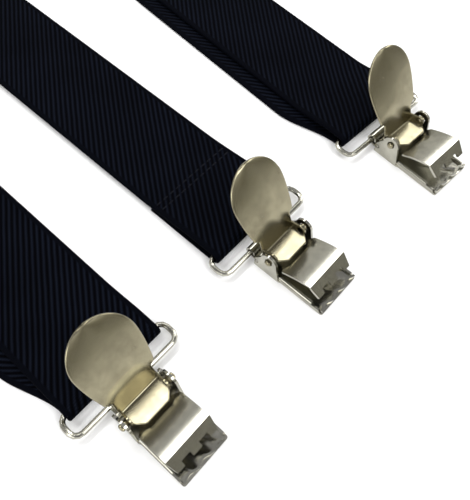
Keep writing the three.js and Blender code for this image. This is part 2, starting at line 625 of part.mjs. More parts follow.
/** Clamp: a barrel with end pins that turn in the frame's ears, and a plate that lies over the strap. */
function adjusterClamp() {
  const pinEnd = STRAP_HALF + GAP + 0.2 + RAIL + 0.6;
  const barrelHalf = pinEnd - 0.6 - 1.2 - GAP;
  const plateHalf = STRAP_HALF + 0.4;
  const outline = new THREE.Shape();
  const round = 4;
  const tip = CLAMP_AXIS_X + CLAMP_LENGTH;
  outline.moveTo(CLAMP_AXIS_X, -plateHalf);
  outline.lineTo(tip - round, -plateHalf);
  outline.absarc(tip - round, round - plateHalf, round, -Math.PI / 2, 0, false);
  outline.absarc(tip - round, plateHalf - round, round, 0, Math.PI / 2, false);
  outline.lineTo(CLAMP_AXIS_X, plateHalf);
  let clamp = upZ(outline, CLAMP_AXIS_Z - 0.3, CLAMP_AXIS_Z + CLAMP_BARREL);
  clamp = clamp.add(barY(CLAMP_BARREL, CLAMP_AXIS_X, CLAMP_AXIS_Z, -barrelHalf, barrelHalf));
  return clamp.add(barY(CLAMP_PIN, CLAMP_AXIS_X, CLAMP_AXIS_Z, -pinEnd, pinEnd));
}

// ---- materials ----
const nickel = new THREE.MeshStandardMaterial({ color: 0xb9b8ac, roughness: 0.28, metalness: 1 });
const elastic = new THREE.MeshStandardMaterial({ color: 0x0d111d, roughness: 0.85, metalness: 0 });
const leather = new THREE.MeshStandardMaterial({ color: 0x14120f, roughness: 0.5, metalness: 0 });

function piece(name, part, material) {
  const geometry = geometryOf(part);
  geometry.computeVertexNormals();
  const mesh = new THREE.Mesh(geometry, material);
  mesh.name = name;
  return mesh;
}

// ---- assembly ----
const suspenders = new THREE.Group();

const left = { name: "left", side: -1, ahead: FRONT_AHEAD, turn: 0 };
const back = { name: "back", side: 0, ahead: 0, turn: 0 };
const right = { name: "right", side: 1, ahead: FRONT_AHEAD, turn: RIGHT_TURN };
for (const { name, side, ahead, turn } of [left, back, right]) {
  const unit = new THREE.Group();
  unit.position.set(ahead, side * STRAP_PITCH, 0);
  unit.rotation.z = turn;
  unit.add(piece(`${name}_clip_base`, clipBase(), nickel));
  unit.add(piece(`${name}_clip_jaw`, clipJaw(), nickel));
  unit.add(piece(`${name}_clip_lever`, clipLever(), nickel));
  unit.add(piece(`${name}_ring`, clipRing(), nickel));
  if (side !== 0) {
    unit.add(piece(`${name}_adjuster_frame`, adjusterFrame(), nickel));
    unit.add(piece(`${name}_adjuster_clamp`, adjusterClamp(), nickel));
  }
  suspenders.add(unit);
}

suspenders.add(piece("back_strap", backStrap(), elastic));
suspenders.add(piece("right_front_strap", frontStrap(right, LAYER, 2 * LAYER, LAYER), elastic));
suspenders.add(piece("left_front_strap", frontStrap(left, 2 * LAYER, LAYER, 2 * LAYER), elastic));
suspenders.add(piece("patch_inner", patchLayer(0), leather));
suspenders.add(piece("patch_outer", patchLayer(3 * LAYER), leather));

export default suspenders;
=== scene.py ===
"""Y-back suspenders laid flat on a pale table: elastic straps, leather patch, adjusters, rings and clips."""
import json
import logging
import math
from dataclasses import dataclass, field
from enum import Enum

import bmesh
import bpy
import numpy as np
from mathutils import Matrix, Vector


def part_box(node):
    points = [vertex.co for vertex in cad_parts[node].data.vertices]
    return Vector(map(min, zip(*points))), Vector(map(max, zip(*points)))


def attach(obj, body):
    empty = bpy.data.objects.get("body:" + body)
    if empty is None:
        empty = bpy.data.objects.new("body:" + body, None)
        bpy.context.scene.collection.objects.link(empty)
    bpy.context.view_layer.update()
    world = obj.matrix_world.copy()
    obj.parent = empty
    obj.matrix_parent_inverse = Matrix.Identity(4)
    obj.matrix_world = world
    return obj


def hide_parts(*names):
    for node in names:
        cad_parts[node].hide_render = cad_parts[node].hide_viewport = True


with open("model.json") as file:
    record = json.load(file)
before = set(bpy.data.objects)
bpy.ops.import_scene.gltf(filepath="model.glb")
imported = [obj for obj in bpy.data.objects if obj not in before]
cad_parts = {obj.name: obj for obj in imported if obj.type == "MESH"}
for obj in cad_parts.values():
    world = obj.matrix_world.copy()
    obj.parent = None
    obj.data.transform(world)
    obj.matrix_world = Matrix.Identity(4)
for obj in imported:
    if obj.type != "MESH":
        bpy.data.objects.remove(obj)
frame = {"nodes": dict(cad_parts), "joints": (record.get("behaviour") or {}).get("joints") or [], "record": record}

log = logging.getLogger("suspenders")
MM = 0.001
SHARP_ANGLE = math.radians(40)
WELD = 2e-6
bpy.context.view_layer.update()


class Slot(Enum):
    """Material slots of the record."""

    ELASTIC = "elastic"
    LEATHER = "leather"
    NICKEL = "nickel"
    SATIN = "satin_nickel"


# ---------------------------------------------------------------- colours and nodes


def linear(hex_colour: str) -> tuple[float, float, float, float]:
    """Turn an sRGB hex colour into linear light.

    Args:
        hex_colour: Six hex digits, with or without a leading #.

    Returns:
        Linear red, green and blue, and an alpha of 1.
    """
    digits = hex_colour.lstrip("#")
    channels = np.array([int(digits[i : i + 2], 16) / 255 for i in (0, 2, 4)])
    light = np.where(channels <= 0.04045, channels / 12.92, ((channels + 0.055) / 1.055) ** 2.4)
    return (*light.tolist(), 1.0)


def add_node(tree: bpy.types.NodeTree, kind: str, inputs: dict | None = None, **settings) -> bpy.types.Node:
    """Add a node with its settings, constant inputs and incoming links.

    Args:
        tree: The node tree that takes the node.
        kind: The node's type name, such as ShaderNodeMath.
        inputs: Socket name or number to a constant or to another node's output socket.
        **settings: Attributes of the node itself, such as operation.

    Returns:
        The new node.
    """
    made = tree.nodes.new(kind)
    for name, value in settings.items():
        setattr(made, name, value)
    for key, value in (inputs or {}).items():
        if isinstance(value, bpy.types.NodeSocket):
            tree.links.new(value, made.inputs[key])
        else:
            made.inputs[key].default_value = value
    return made


def new_material(name: str) -> tuple[bpy.types.Material, bpy.types.NodeTree]:
    """Make a material with no nodes.

    Args:
        name: The material's name.

    Returns:
        The material and its node tree.
    """
    material = bpy.data.materials.new(name)
    material.use_nodes = True
    material.node_tree.nodes.clear()
    return material, material.node_tree


def finish_material(tree: bpy.types.NodeTree, shader: bpy.types.Node) -> None:
    """Link a shader to the material's output."""
    add_node(tree, "ShaderNodeOutputMaterial", {"Surface": shader.outputs[0]})


# ---------------------------------------------------------------- finishes


@dataclass(frozen=True)
class TwillElastic:
    """Woven polyester elastic in a steep twill.

    Rounded diagonal ribs carry a painted highlight and the furrows between them a painted shade that is almost
    black, and each edge has a narrow plain selvedge. The cross threads of such elastic lie about 0.4 mm apart,
    which is too fine to show,
    so they are drawn 0.7 mm apart. The pattern is in the strap's own UV map, in metres: u across, v along.
    """

    name: str = "twill_elastic"
    # The rib colour carries a painted highlight on the crests, the furrow colour painted shade in the hollows.
    rib_highlight: str = "#11151f"
    furrow_shade: str = "#010103"
    selvedge: str = "#04050a"
    rib_pitch: float = 1.84 * MM
    rib_angle: float = math.radians(53)
    rib_narrowing: float = 1.5
    wander: float = 0.9
    wander_size: float = 6 * MM
    thread_pitch: float = 0.7 * MM
    thread_low: float = 0.55
    selvedge_width: float = 1.9 * MM
    selvedge_blend: float = 0.15 * MM
    selvedge_height: float = 0.55
    half_width: float = 19 * MM
    # Size of the patches of painted sheen that lighten or dim the cloth.
    sheen_patch_size: float = 22 * MM
    relief: float = 0.25 * MM

    def build(self) -> bpy.types.Material:
        """Make the material.

        Height is a sine across the slanted ribs, raised to a power, times a finer sine along the strap for the
        threads; in the selvedge only the threads are left. The colour follows the height, from painted shade in
        the furrows to a painted highlight on the ribs. Noise wanders the ribs and paints a sheen that lightens or
        dims the cloth in patches.

        Returns:
            The material.
        """
        material, tree = new_material(self.name)
        uv = add_node(tree, "ShaderNodeUVMap", uv_map="weave")
        split = add_node(tree, "ShaderNodeSeparateXYZ", {0: uv.outputs[0]})
        across, along = split.outputs[0], split.outputs[1]
        turns = 2 * math.pi / self.rib_pitch * math.cos(self.rib_angle)
        sideways = add_node(tree, "ShaderNodeMath", {0: across, 1: math.tan(self.rib_angle)},
                            operation="MULTIPLY")
        slant = add_node(tree, "ShaderNodeMath", {0: sideways.outputs[0], 1: along}, operation="ADD")
        wobble = add_node(tree, "ShaderNodeTexNoise",
                          {"Vector": uv.outputs[0], "Scale": 1 / self.wander_size, "Detail": 1.0})
        drift = add_node(tree, "ShaderNodeMath", {0: wobble.outputs[0], 1: self.wander}, operation="MULTIPLY")
        phase = add_node(tree, "ShaderNodeMath", {0: slant.outputs[0], 1: turns, 2: drift.outputs[0]},
                         operation="MULTIPLY_ADD")
        wave = add_node(tree, "ShaderNodeMath", {0: phase.outputs[0]}, operation="SINE")
        lifted = add_node(tree, "ShaderNodeMapRange", {0: wave.outputs[0], 1: -1.0, 2: 1.0, 3: 0.0, 4: 1.0})
        ribs = add_node(tree, "ShaderNodeMath", {0: lifted.outputs[0], 1: self.rib_narrowing}, operation="POWER")
        counter = add_node(tree, "ShaderNodeMath", {0: along, 1: 2 * math.pi / self.thread_pitch},
                           operation="MULTIPLY")
        threads = add_node(tree, "ShaderNodeMath", {0: counter.outputs[0]}, operation="SINE")
        fine = add_node(tree, "ShaderNodeMapRange",
                        {0: threads.outputs[0], 1: -1.0, 2: 1.0, 3: self.thread_low, 4: 1.0})
        weave = add_node(tree, "ShaderNodeMath", {0: ribs.outputs[0], 1: fine.outputs[0]}, operation="MULTIPLY")
        reach = add_node(tree, "ShaderNodeMath", {0: across}, operation="ABSOLUTE")
        inner = self.half_width - self.selvedge_width
        body = add_node(tree, "ShaderNodeMapRange", {
            0: reach.outputs[0], 1: inner - self.selvedge_blend, 2: inner + self.selvedge_blend, 3: 1.0, 4: 0.0,
        })
        cord = add_node(tree, "ShaderNodeMath", {0: fine.outputs[0], 1: self.selvedge_height},
                        operation="MULTIPLY")
        height = add_node(tree, "ShaderNodeMix", {0: body.outputs[0], 2: cord.outputs[0], 3: weave.outputs[0]},
                          data_type="FLOAT")
        # Painted light and shade: the colour runs from shade in the furrows to a highlight on the ribs, by height.
        cloth = add_node(tree, "ShaderNodeMix",
                         {0: weave.outputs[0], 6: linear(self.furrow_shade), 7: linear(self.rib_highlight)}, data_type="RGBA")
        # Painted sheen: broad noise lightens or dims the cloth in patches.
        sheen_noise = add_node(tree, "ShaderNodeTexNoise",
                        {"Vector": uv.outputs[0], "Scale": 1 / self.sheen_patch_size, "Detail": 4.0})
        painted_sheen = add_node(tree, "ShaderNodeMapRange", {0: sheen_noise.outputs[0], 1: 0.3, 2: 0.8, 3: 0.8, 4: 1.25})
        shaded = add_node(tree, "ShaderNodeMix", {0: 1.0, 6: cloth.outputs[2], 7: painted_sheen.outputs[0]},
                          data_type="RGBA", blend_type="MULTIPLY")
        colour = add_node(tree, "ShaderNodeMix",
                          {0: body.outputs[0], 6: linear(self.selvedge), 7: shaded.outputs[2]}, data_type="RGBA")
        bump = add_node(tree, "ShaderNodeBump",
                        {"Height": height.outputs[0], "Strength": 0.9, "Distance": self.relief})
        shader = add_node(tree, "ShaderNodeBsdfPrincipled", {
            "Base Color": colour.outputs[2], "Normal": bump.outputs[0], "Roughness": 0.7,
            "Specular IOR Level": 0.015, "Sheen Weight": 0.004, "Sheen Roughness": 0.4,
        })
        finish_material(tree, shader)
        return material


@dataclass(frozen=True)
class GrainedLeather:
    """Chrome-tanned cowhide, pressed with a fine grain and given a thin finish.

    Small rounded pebbles with painted shade in the creases between them, and a low gloss that comes and goes in
    patches.
    """

    name: str = "pebbled_cowhide"
    face: str = "#14110e"
    # The crease colour is painted shade where the pebbles meet.
    crease: str = "#080605"
    pebble: float = 1.1 * MM
    gloss_size: float = 11 * MM
    relief: float = 0.25 * MM

    def build(self) -> bpy.types.Material:
        """Make the material: pebbles are rounded cells, highest at each cell's middle and darkened with painted
        shade where cells meet.

        Returns:
            The material.
        """
        material, tree = new_material(self.name)
        place = add_node(tree, "ShaderNodeTexCoord")
        cells = add_node(tree, "ShaderNodeTexVoronoi",
                         {"Vector": place.outputs["Object"], "Scale": 1 / self.pebble, "Randomness": 0.9},
                         feature="SMOOTH_F1")
        clouds = add_node(tree, "ShaderNodeTexNoise",
                          {"Vector": place.outputs["Object"], "Scale": 1 / self.gloss_size, "Detail": 5.0})
        dome = add_node(tree, "ShaderNodeMapRange", {0: cells.outputs[0], 1: 0.0, 2: 0.75, 3: 1.0, 4: 0.0})
        # Painted shade: the colour darkens towards the creases between the pebbles.
        colour = add_node(tree, "ShaderNodeMix",
                          {0: dome.outputs[0], 6: linear(self.crease), 7: linear(self.face)}, data_type="RGBA")
        rough = add_node(tree, "ShaderNodeMapRange", {0: clouds.outputs[0], 1: 0.3, 2: 0.7, 3: 0.38, 4: 0.58})
        bump = add_node(tree, "ShaderNodeBump",
                        {"Height": dome.outputs[0], "Strength": 0.9, "Distance": self.relief})
        shader = add_node(tree, "ShaderNodeBsdfPrincipled", {
            "Base Color": colour.outputs[2], "Normal": bump.outputs[0], "Roughness": rough.outputs[0],
            "Specular IOR Level": 0.2,
        })
        finish_material(tree, shader)
        return material


@dataclass(frozen=True)
class NickelPlate:
    """Nickel-plated pressed steel, barrel-finished.

    Warm grey metal with a soft haze, duller in patches. Real tumbling marks are under 0.1 mm wide, which is too
    fine to show, so they are drawn 0.35 mm wide.
    """

    name: str
    colour: str
    dull: str
    roughness: float
    patch_size: float = 6 * MM
    mark_size: float = 0.35 * MM
    mark_stretch: float = 4.0
    relief: float = 0.03 * MM

    def build(self) -> bpy.types.Material:
        """Make the material: roughness and tint follow soft clouds, and the bump is a fine stretched noise.

        Returns:
            The material.
        """
        material, tree = new_material(self.name)
        place = add_node(tree, "ShaderNodeTexCoord")
        clouds = add_node(tree, "ShaderNodeTexNoise", {
            "Vector": place.outputs["Object"], "Scale": 1 / self.patch_size, "Detail": 4.0, "Roughness": 0.6,
        })
        stretch = add_node(tree, "ShaderNodeMapping",
                           {"Vector": place.outputs["Object"], "Scale": (1 / self.mark_stretch, 1.0, 1.0)})
        marks = add_node(tree, "ShaderNodeTexNoise", {
            "Vector": stretch.outputs[0], "Scale": 1 / self.mark_size, "Detail": 2.0,
        })
        tint = add_node(tree, "ShaderNodeMapRange", {0: clouds.outputs[0], 1: 0.35, 2: 0.7, 3: 0.0, 4: 1.0})
        colour = add_node(tree, "ShaderNodeMix",
                          {0: tint.outputs[0], 6: linear(self.colour), 7: linear(self.dull)}, data_type="RGBA")
        rough = add_node(tree, "ShaderNodeMapRange", {
            0: clouds.outputs[0], 1: 0.3, 2: 0.75, 3: self.roughness * 0.85, 4: self.roughness * 1.25,
        })
        bump = add_node(tree, "ShaderNodeBump",
                        {"Height": marks.outputs[0], "Strength": 0.12, "Distance": self.relief})
        shader = add_node(tree, "ShaderNodeBsdfPrincipled", {
            "Base Color": colour.outputs[2], "Metallic": 1.0, "Roughness": rough.outputs[0],
            "Normal": bump.outputs[0],
        })
        finish_material(tree, shader)
        return material


@dataclass(frozen=True)
class SewingThread:
    """Spun polyester sewing thread with two plies.

    A matt thread whose plies show as slanted bands of painted highlight and painted shade. Their real spacing,
    about 0.3 mm, is too fine to show, so it is drawn at 0.6 mm.
    """

    name: str = "spun_thread"
    # The light colour is a painted highlight on the plies, the dark one painted shade in the grooves between them.
    light: str = "#11131c"
    ply_shade: str = "#05060a"
    twist: float = 0.6 * MM

    def build(self) -> bpy.types.Material:
        """Make the material: bands along the slanted sum of the three axes stand for the plies, with painted light
        and shade.

        Returns:
            The material.
        """
        material, tree = new_material(self.name)
        place = add_node(tree, "ShaderNodeTexCoord")
        plies = add_node(tree, "ShaderNodeTexWave",
                         {"Vector": place.outputs["Object"], "Scale": 1 / self.twist / 3, "Distortion": 0.3},
                         bands_direction="DIAGONAL")
        colour = add_node(tree, "ShaderNodeMix",
                          {0: plies.outputs[1], 6: linear(self.ply_shade), 7: linear(self.light)}, data_type="RGBA")
        shader = add_node(tree, "ShaderNodeBsdfPrincipled", {
            "Base Color": colour.outputs[2], "Roughness": 0.6, "Specular IOR Level": 0.1,
        })
        finish_material(tree, shader)
        return material


@dataclass(frozen=True)
class PaleTable:
    """Smooth table top painted matt white, which gives soft shadows and almost no reflection."""

    name: str = "matt_white_table"
    colour: str = "#f7f7f7"

    def build(self) -> bpy.types.Material:
        """Make the material, a diffuse white with a faint gloss.

        Returns:
            The material.
        """
        material, tree = new_material(self.name)
        shader = add_node(tree, "ShaderNodeBsdfPrincipled", {
            "Base Color": linear(self.colour), "Roughness": 0.9, "Specular IOR Level": 0.1,
        })
        finish_material(tree, shader)
        return material


# ---------------------------------------------------------------- meshes from grids


def placed(name: str, data: bpy.types.ID) -> bpy.types.Object:
    """Make an object and put it in the scene.

    Args:
        name: The object's name.
        data: Its mesh, light or camera.

    Returns:
        The object, at the origin.
    """
    made = bpy.data.objects.new(name, data)
    bpy.context.scene.collection.objects.link(made)
    return made


def ring_quads(rings: int, around: int) -> np.ndarray:
    """Faces between rings of points: point j of ring i is number i times around, plus j.

    Args:
        rings: How many rings.
        around: How many points each closed ring has.

    Returns:
        Four point numbers for each face.
    """
    i, j = np.meshgrid(np.arange(rings - 1), np.arange(around), indexing="ij")
    j2 = (j + 1) % around
    corners = [i * around + j, i * around + j2, (i + 1) * around + j2, (i + 1) * around + j]
    return np.stack(corners, -1).reshape(-1, 4)


def grid_piece(name: str, points: np.ndarray, uv: np.ndarray | None = None) -> bpy.types.Object:
    """Make a closed skin from rings of points, with a flat face over the first and the last ring.

    Args:
        name: The object's name.
        points: Rings by points by 3, each ring a closed loop, in metres.
        uv: Rings by points by 2, the pattern's coordinates in metres.

    Returns:
        The new object. Its faces point outwards: they are turned round where the volume they enclose, the sum of
        the corners' triple products, comes out negative.
    """
    rings, around = points.shape[:2]
    quads = ring_quads(rings, around)
    flat = points.reshape(-1, 3)
    a, b, c, d = (flat[quads[:, k]] for k in range(4))
    volume = (np.einsum("ij,ij->i", a, np.cross(b, c)) + np.einsum("ij,ij->i", a, np.cross(c, d))).sum()
    first = np.arange(around)
    last = first + (rings - 1) * around
    ends = (first[::-1], last)
    if volume < 0:
        quads = quads[:, ::-1]
        ends = (first, last[::-1])
    mesh = bpy.data.meshes.new(name)
    mesh.from_pydata(flat.tolist(), [], quads.tolist() + [end.tolist() for end in ends])
    mesh.polygons.foreach_set("use_smooth", np.ones(len(mesh.polygons), bool))
    if uv is not None:
        layer = mesh.uv_layers.new(name="weave")
        corner = np.empty(len(mesh.loops), np.int32)
        mesh.loops.foreach_get("vertex_index", corner)
        layer.data.foreach_set("uv", uv.reshape(-1, 2)[corner].astype(np.float32).ravel())
    mesh.update()
    return placed(name, mesh)


def dress(piece: bpy.types.Object, material: bpy.types.Material, body: str) -> None:
    """Give a piece its finish and its place in the mechanism, and report it.

    Args:
        piece: The piece.
        material: Its finish.
        body: The body it rides on.
    """
    piece.data.materials.clear()
    piece.data.materials.append(material)
    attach(piece, body)
    log.info("%s: %d faces on %s", piece.name, len(piece.data.polygons), body)


def round_edges(piece: bpy.types.Object, edge: float, limit: float, harden: bool) -> None:
    """Shade a piece smooth between its sharp edges, and round its edges.

    Args:
        piece: The piece.
        edge: Width of the rounded edge, in metres.
        limit: The least angle of an edge that is rounded.
        harden: Whether the faces beside an edge keep their own shading.
    """
    piece.data.shade_smooth()
    piece.data.set_sharp_from_angle(angle=SHARP_ANGLE)
    bevel = piece.modifiers.new("rounded edges", "BEVEL")
    bevel.width = edge
    bevel.segments = 2
    bevel.limit_method = "ANGLE"
    bevel.angle_limit = limit
    bevel.harden_normals = harden


# ---------------------------------------------------------------- straps


@dataclass(frozen=True)
class StrapSizes:
    """Sizes shared by the straps and what they pass through, in metres, as in the part's own source."""

    width: float = 38 * MM
    thickness: float = 1.4 * MM
    gap: float = 0.3 * MM
    wire: float = 2 * MM
    front_run: float = 426 * MM
    back_run: float = 277 * MM
    back_hem: float = 30 * MM
    front_hem: float = 26 * MM
    adjuster_distance: float = 236 * MM
    patch_offset: float = 9 * MM
    patch_meeting: float = 2 * MM
    cross_spare: float = 7 * MM
    fold_room: float = 11 * MM
    bar: float = 1.8 * MM
    frame_length: float = 24 * MM
    drop_start: float = 4 * MM
    back_drop: float = 8 * MM

    @property
    def layer(self) -> float:
        """From one strap layer to the next."""
        return self.thickness + self.gap

    @property
    def low(self) -> float:
        """Middle of a strap that lies over another layer."""
        return self.layer + self.thickness / 2

    @property
    def loop(self) -> float:
        """Middle radius of the strap round its ring's wire."""
        return self.wire / 2 + self.gap + self.thickness / 2

    @property
    def wire_height(self) -> float:
        """Height of the wire's middle line."""
        return self.layer + self.wire / 2

    @property
    def bar_height(self) -> float:
        """Height of the adjuster bar's middle line."""
        return self.layer + self.bar / 2

    @property
    def bar_loop(self) -> float:
        """Middle radius of the strap round the adjuster's bar."""
        return self.bar / 2 + self.gap + self.thickness / 2

    @property
    def through_adjuster(self) -> float:
        """Middle height of the strap where it runs through the adjuster."""
        return self.bar_height + self.bar_loop + self.thickness + self.gap

    @property
    def top(self) -> float:
        """Middle height of the strap over its ring's wire."""
        return self.wire_height + self.loop

    @property
    def pitch(self) -> float:
        """From one strap's middle line to the next."""
        return 1.5 * self.width + self.fold_room

    @property
    def patch_run(self) -> float:
        """From the patch to a front strap's first fold."""
        return self.front_run - self.back_run

    @property
    def spread(self) -> float:
        """Angle between a front strap and the middle line at the patch."""
        return math.asin((self.pitch - self.width - self.cross_spare - self.patch_offset) / self.patch_run)


def smooth(share: np.ndarray) -> np.ndarray:
    """A smooth step from 0 to 1: t squared times 3 - 2 t, with t held between 0 and 1."""
    t = np.clip(share, 0, 1)
    return t**2 * (3 - 2 * t)


def way(degrees: float) -> np.ndarray:
    """The unit vector at an angle in a side view: its cosine and its sine."""
    return np.array([math.cos(math.radians(degrees)), math.sin(math.radians(degrees))])


def arc(x: float, z: float, radius: float, start: float, end: float, steps: int = 40) -> np.ndarray:
    """Points of an arc in a side view, angles in degrees."""
    angle = np.radians(np.linspace(start, end, steps + 1))
    return np.stack([x + radius * np.cos(angle), z + radius * np.sin(angle)], -1)


def ramp(x0: float, z0: float, x1: float, z1: float, steps: int = 24) -> np.ndarray:
    """Points of an easy rise or drop: height follows half a cosine wave."""
    s = np.linspace(0, 1, steps + 1)
    return np.stack([x0 + (x1 - x0) * s, z0 + (z1 - z0) * (1 - np.cos(np.pi * s)) / 2], -1)


@dataclass
class Route:
    """A strap's middle line in a side view, followed by length."""

    line: np.ndarray
    length: np.ndarray = field(init=False)

    def __post_init__(self) -> None:
        """Measure the length from the first point to each point."""
        steps = np.linalg.norm(np.diff(self.line, axis=0), axis=1)
        keep = np.concatenate([[True], steps > 1e-9])
        self.line = self.line[keep]
        steps = np.linalg.norm(np.diff(self.line, axis=0), axis=1)
        self.length = np.concatenate([[0.0], np.cumsum(steps)])

    def at(self, s: np.ndarray) -> tuple[np.ndarray, np.ndarray]:
        """Places and outward normals at given lengths.

        Args:
            s: Lengths along the line, of any shape.

        Returns:
            Places and normals, each with a last axis of x and z. The heading is the way from a little before the
            place to a little after it, and the normal is the heading turned to its right.
        """
        reach = 0.2 * MM
        place = np.stack([np.interp(s, self.length, self.line[:, k]) for k in (0, 1)], -1)
        ahead = np.stack([np.interp(s + reach, self.length, self.line[:, k]) for k in (0, 1)], -1)
        behind = np.stack([np.interp(s - reach, self.length, self.line[:, k]) for k in (0, 1)], -1)
        heading = ahead - behind
        heading /= np.linalg.norm(heading, axis=-1, keepdims=True)
        return place, np.stack([heading[..., 1], -heading[..., 0]], -1)


@dataclass
class Crease:
    """A slanted fold: what lies beyond the line wraps half round a thin roll along it and comes back.

    Attributes:
        point: A point of the fold line.
        along: The line's heading.
        beyond: The way across the line, towards what is folded.
        radius: The roll's radius.
        up: 1 where the strap folds upwards, -1 where it folds under itself.
    """

    point: np.ndarray
    along: np.ndarray
    beyond: np.ndarray
    radius: float
    up: float

    def fold(self, xy: np.ndarray, height: np.ndarray) -> tuple[np.ndarray, np.ndarray]:
        """Fold points of a flat strap.

        With d the distance past the line and r the roll's radius, a point at height h keeps its place before
        the roll, goes to (r - h) sin, r - (r - h) cos of d / r on it, and past it to -d and 2 r - h.

        Args:
            xy: Places in the plane, with a last axis of 2.
            height: Heights over the plane.

        Returns:
            The folded places and heights.
        """
        start = -math.pi * self.radius / 2
        d = (xy - self.point) @ self.beyond - start
        h = height * self.up
        turn = np.clip(d / self.radius, 0, math.pi)
        past = np.maximum(d - math.pi * self.radius, 0)
        on_roll = d > 0
        out = np.where(on_roll, (self.radius - h) * np.sin(turn) - past, d)
        lifted = np.where(on_roll, self.radius - (self.radius - h) * np.cos(turn), h)
        moved = xy + (out - d)[..., None] * self.beyond
        return moved, lifted * self.up


@dataclass
class Strap:
    """One woven strap, made from a side-view route, a place on the table and any slanted folds.

    Attributes:
        name: The piece's name.
        route: The strap's middle line.
        stations: Lengths along the route that get a section.
        home: Where the route's zero lies on the table.
        turn: The angle that the route is turned by, in radians.
        level: The height that the folds start from.
        creases: The slanted folds, the far one first.
        skew: How far each section slants forwards, as a share of the way across.
        drift: How far each section has slipped aside.
        sizes: The straps' sizes.
        flat_points: Points across each flat of the section.
        edge_points: Points round each of its edges.
    """

    name: str
    route: Route
    stations: np.ndarray
    home: np.ndarray
    turn: float
    level: float = 0.0
    creases: list[Crease] = field(default_factory=list)
    skew: np.ndarray | None = None
    drift: np.ndarray | None = None
    sizes: StrapSizes = field(default_factory=StrapSizes)
    flat_points: int = 22
    edge_points: int = 6

    def section(self) -> tuple[np.ndarray, np.ndarray]:
        """Work out the strap's section: two flats joined by half-round edges.

        Returns:
            The values across and up at each point round the section.
        """
        r = self.sizes.thickness / 2
        side = self.sizes.width / 2 - r
        flat = np.linspace(-side, side, self.flat_points)
        angle = np.linspace(math.pi / 2, -math.pi / 2, self.edge_points + 2)[1:-1]
        across = np.concatenate([flat, side + r * np.cos(angle), flat[::-1], -side - r * np.cos(angle)])
        up = np.concatenate([np.full_like(flat, r), r * np.sin(angle), np.full_like(flat, -r), -r * np.sin(angle)])
        return across, up

    def build(self) -> bpy.types.Object:
        """Carry the section along the route, slant it to meet the creases, lay it down and fold it.

        A point lies at the route's place for its length plus its slant, moved along the normal by its height in
        the section, and is then turned and moved to the strap's own place.

        Returns:
            The strap's object.
        """
        across, up = self.section()
        skew = np.zeros_like(self.stations) if self.skew is None else self.skew
        s = self.stations[:, None] + skew[:, None] * across[None, :]
        place, normal = self.route.at(s)
        x = place[..., 0] + normal[..., 0] * up
        z = place[..., 1] + normal[..., 1] * up
        aside = np.zeros_like(self.stations) if self.drift is None else self.drift
        y = across[None, :] + aside[:, None]
        cos, sin = math.cos(self.turn), math.sin(self.turn)
        xy = np.stack([self.home[0] + x * cos - y * sin, self.home[1] + x * sin + y * cos], -1)
        height = z - self.level
        for crease in self.creases:
            xy, height = crease.fold(xy, height)
        points = np.concatenate([xy, (height + self.level)[..., None]], -1)
        uv = np.stack([np.broadcast_to(across, s.shape), -s], -1)
        return grid_piece(self.name, points, uv)


def spaced(marks: list[tuple[float, float]], step: float) -> np.ndarray:
    """Lengths from the first mark to the last, closer together where asked.

    Args:
        marks: Pairs of a length and the spacing wanted there.
        step: The widest spacing.

    Returns:
        Increasing lengths whose spacing follows the marks.
    """
    where = np.array([m[0] for m in marks])
    wish = np.array([m[1] for m in marks])
    grain = 0.05 * MM
    dense = np.arange(where[0], where[-1], grain)
    density = 1 / np.minimum(np.interp(dense, where, wish), step)
    count = np.concatenate([[0.0], np.cumsum(density[1:] * np.diff(dense))])
    wanted = np.linspace(0, count[-1], int(count[-1]) + 2)
    return np.append(np.interp(wanted[:-1], count, dense), where[-1])


